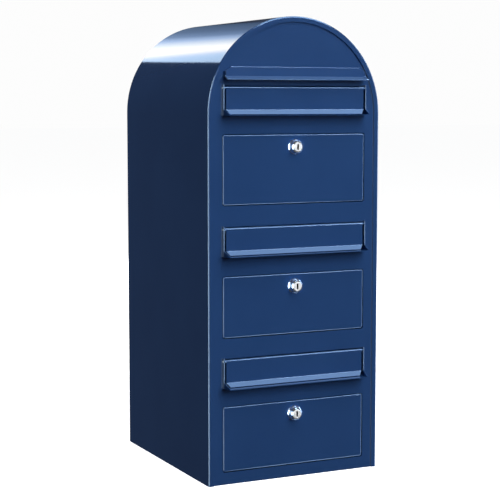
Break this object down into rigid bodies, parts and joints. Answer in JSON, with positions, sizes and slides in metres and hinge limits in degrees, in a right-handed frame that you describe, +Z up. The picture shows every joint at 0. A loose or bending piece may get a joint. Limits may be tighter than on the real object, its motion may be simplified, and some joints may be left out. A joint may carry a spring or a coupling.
{
  "type": "mailbox",
  "caption": "Upright sheet-steel mailbox with a barrel-vaulted top, stacked compartments with flap-covered mail slots and drop-down doors with cam locks.",
  "frame": {"origin": "centre of the base, on the surface that the box stands on", "axes": "+Z up, -Y out of the front with the doors, +X to the right as seen from the front"},
  "size_m": [0.31, 0.3742, 0.7519],
  "materials": {
    "powder_coat": "glossy dark blue powder coat",
    "lock_chrome": "polished chrome plating",
    "zinc_plated_steel": "bright zinc plating"
  },
  "bodies": {
    "cabinet": {"body_shell": "powder_coat", "front_plate": "powder_coat", "back_plate": "powder_coat", "base_plate": "powder_coat", "slot_visor": "powder_coat", "upper_divider": "powder_coat", "lower_divider": "powder_coat", "top_slot_frame": "powder_coat", "top_flap_pin": "zinc_plated_steel", "top_hinge_brackets": "powder_coat", "top_keeper": "powder_coat", "middle_slot_frame": "powder_coat", "middle_flap_pin": "zinc_plated_steel", "middle_hinge_brackets": "powder_coat", "middle_keeper": "powder_coat", "bottom_slot_frame": "powder_coat", "bottom_flap_pin": "zinc_plated_steel", "bottom_hinge_brackets": "powder_coat", "bottom_keeper": "powder_coat"},
    "top_flap_body": {"top_flap": "powder_coat"},
    "top_door_body": {"top_door": "powder_coat", "top_door_pins": "zinc_plated_steel", "top_lock_housing": "lock_chrome", "top_lock_nut": "zinc_plated_steel"},
    "top_lock_body": {"top_lock_plug": "lock_chrome", "top_lock_cam": "zinc_plated_steel", "top_cam_screw": "zinc_plated_steel"},
    "middle_flap_body": {"middle_flap": "powder_coat"},
    "middle_door_body": {"middle_door": "powder_coat", "middle_door_pins": "zinc_plated_steel", "middle_lock_housing": "lock_chrome", "middle_lock_nut": "zinc_plated_steel"},
    "middle_lock_body": {"middle_lock_plug": "lock_chrome", "middle_lock_cam": "zinc_plated_steel", "middle_cam_screw": "zinc_plated_steel"},
    "bottom_flap_body": {"bottom_flap": "powder_coat"},
    "bottom_door_body": {"bottom_door": "powder_coat", "bottom_door_pins": "zinc_plated_steel", "bottom_lock_housing": "lock_chrome", "bottom_lock_nut": "zinc_plated_steel"},
    "bottom_lock_body": {"bottom_lock_plug": "lock_chrome", "bottom_lock_cam": "zinc_plated_steel", "bottom_cam_screw": "zinc_plated_steel"}
  },
  "joints": [
    {"name": "top_flap_hinge", "type": "hinge", "parent": "cabinet", "child": "top_flap_body", "pos_m": [0, -0.1762, 0.6374], "axis": [-1, 0, 0], "range_deg": [0, 75]},
    {"name": "top_door_hinge", "type": "hinge", "parent": "cabinet", "child": "top_door_body", "pos_m": [0, -0.1686, 0.458], "axis": [1, 0, 0], "range_deg": [0, 90]},
    {"name": "top_lock_turn", "type": "hinge", "parent": "top_door_body", "child": "top_lock_body", "pos_m": [0, -0.1746, 0.5435], "axis": [0, 1, 0], "range_deg": [0, 90]},
    {"name": "middle_flap_hinge", "type": "hinge", "parent": "cabinet", "child": "middle_flap_body", "pos_m": [0, -0.1762, 0.4139], "axis": [-1, 0, 0], "range_deg": [0, 75]},
    {"name": "middle_door_hinge", "type": "hinge", "parent": "cabinet", "child": "middle_door_body", "pos_m": [0, -0.1686, 0.245], "axis": [1, 0, 0], "range_deg": [0, 90]},
    {"name": "middle_lock_turn", "type": "hinge", "parent": "middle_door_body", "child": "middle_lock_body", "pos_m": [0, -0.1746, 0.3175], "axis": [0, 1, 0], "range_deg": [0, 90]},
    {"name": "bottom_flap_hinge", "type": "hinge", "parent": "cabinet", "child": "bottom_flap_body", "pos_m": [0, -0.1762, 0.2019], "axis": [-1, 0, 0], "range_deg": [0, 75]},
    {"name": "bottom_door_hinge", "type": "hinge", "parent": "cabinet", "child": "bottom_door_body", "pos_m": [0, -0.1686, 0.0268], "axis": [1, 0, 0], "range_deg": [0, 90]},
    {"name": "bottom_lock_turn", "type": "hinge", "parent": "bottom_door_body", "child": "bottom_lock_body", "pos_m": [0, -0.1746, 0.1068], "axis": [0, 1, 0], "range_deg": [0, 90]}
  ]
}
